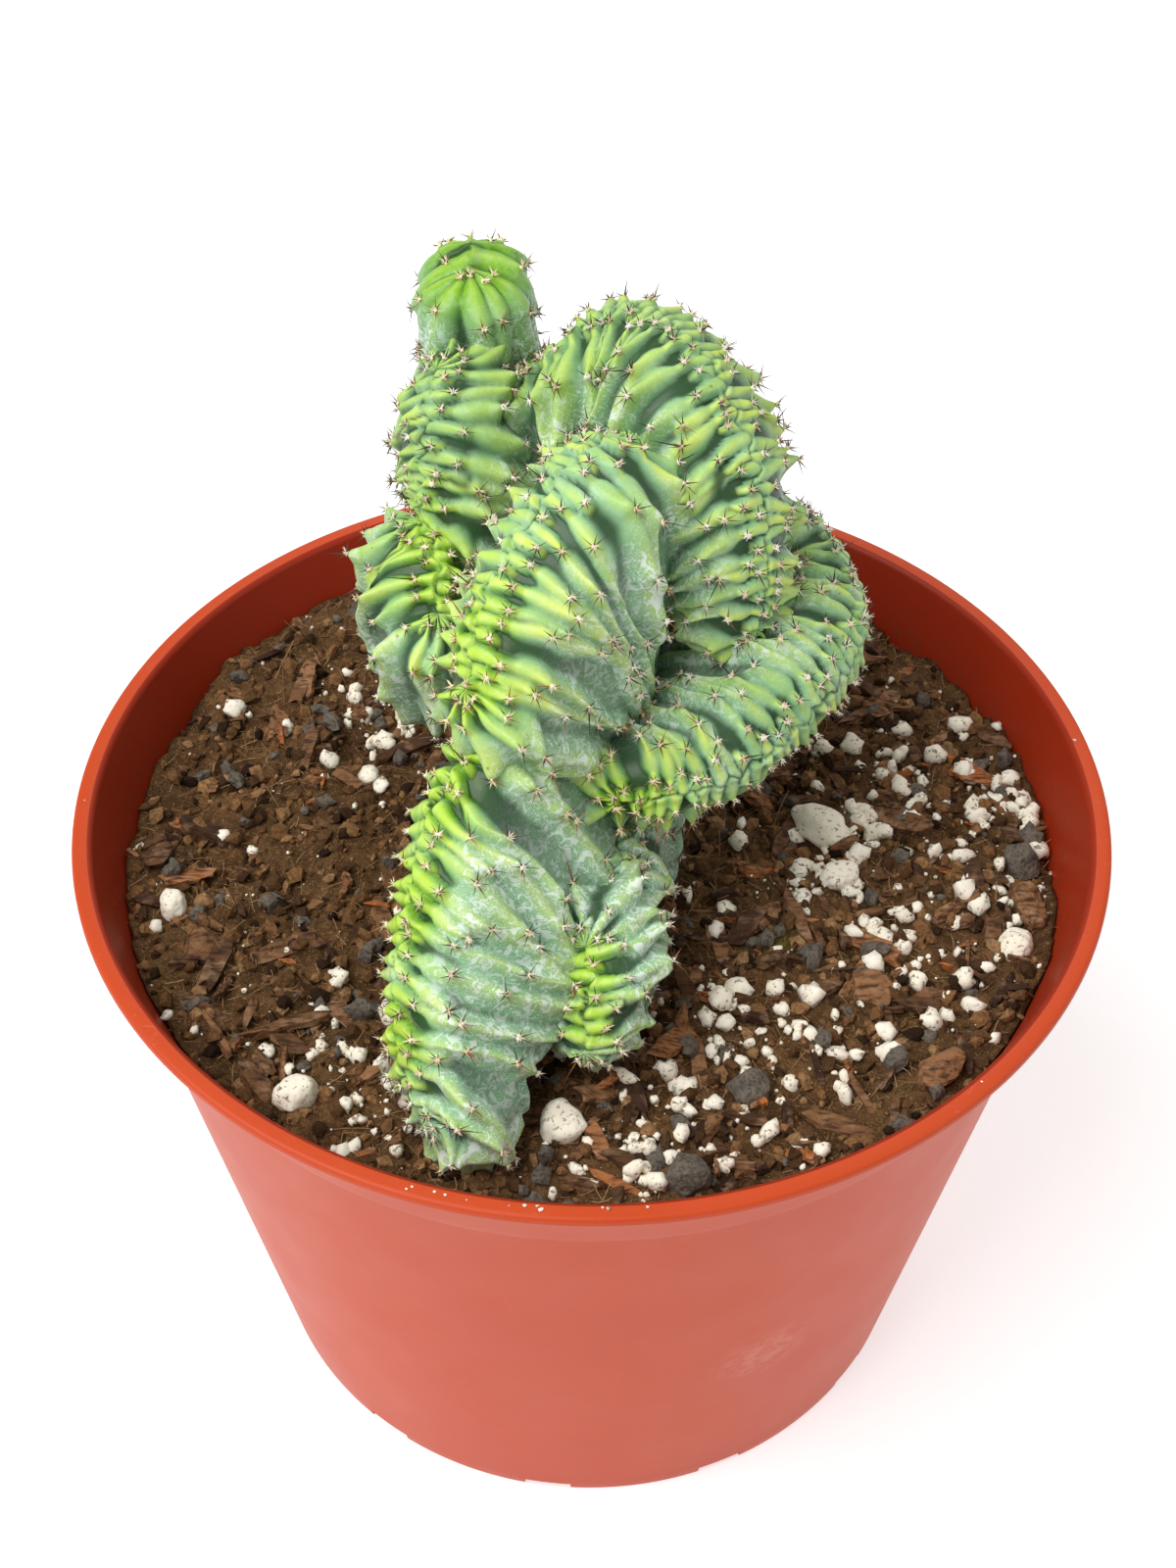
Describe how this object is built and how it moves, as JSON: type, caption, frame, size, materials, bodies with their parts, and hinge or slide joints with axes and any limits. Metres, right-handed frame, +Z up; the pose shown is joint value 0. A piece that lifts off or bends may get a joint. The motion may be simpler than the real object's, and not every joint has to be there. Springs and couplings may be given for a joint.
{
  "type": "potted crested cactus",
  "caption": "Crested blue myrtle cactus with folded, ribbed crests, a short arm and a pup, growing in a round tapered plastic pot of bark and perlite potting mix.",
  "frame": {"origin": "centre of the pot's base, on the surface it stands on", "axes": "+Z up along the pot's axis, -Y towards the side the plant leans out to, +X to the right as seen from there"},
  "size_m": [0.203, 0.203, 0.2328],
  "materials": {
    "pot_plastic": "satin",
    "potting_mix": "matte",
    "cactus_skin": "satin",
    "perlite": "matte",
    "bark": "matte",
    "stone": "matte"
  },
  "bodies": {
    "root": {"pot": "pot_plastic", "potting_mix": "potting_mix", "cactus": "cactus_skin", "perlite_long": "perlite", "perlite_round": "perlite", "perlite_left": "perlite", "perlite_wall_left": "perlite", "perlite_wall_right": "perlite", "perlite_back": "perlite", "perlite_cluster": "perlite", "bark_block": "bark", "bark_chip_right": "bark", "bark_chip_left": "bark", "bark_chip_front": "bark", "bark_splinter": "bark", "stone_dark": "stone", "stone_wall_right": "stone", "stone_front": "stone"}
  },
  "joints": []
}
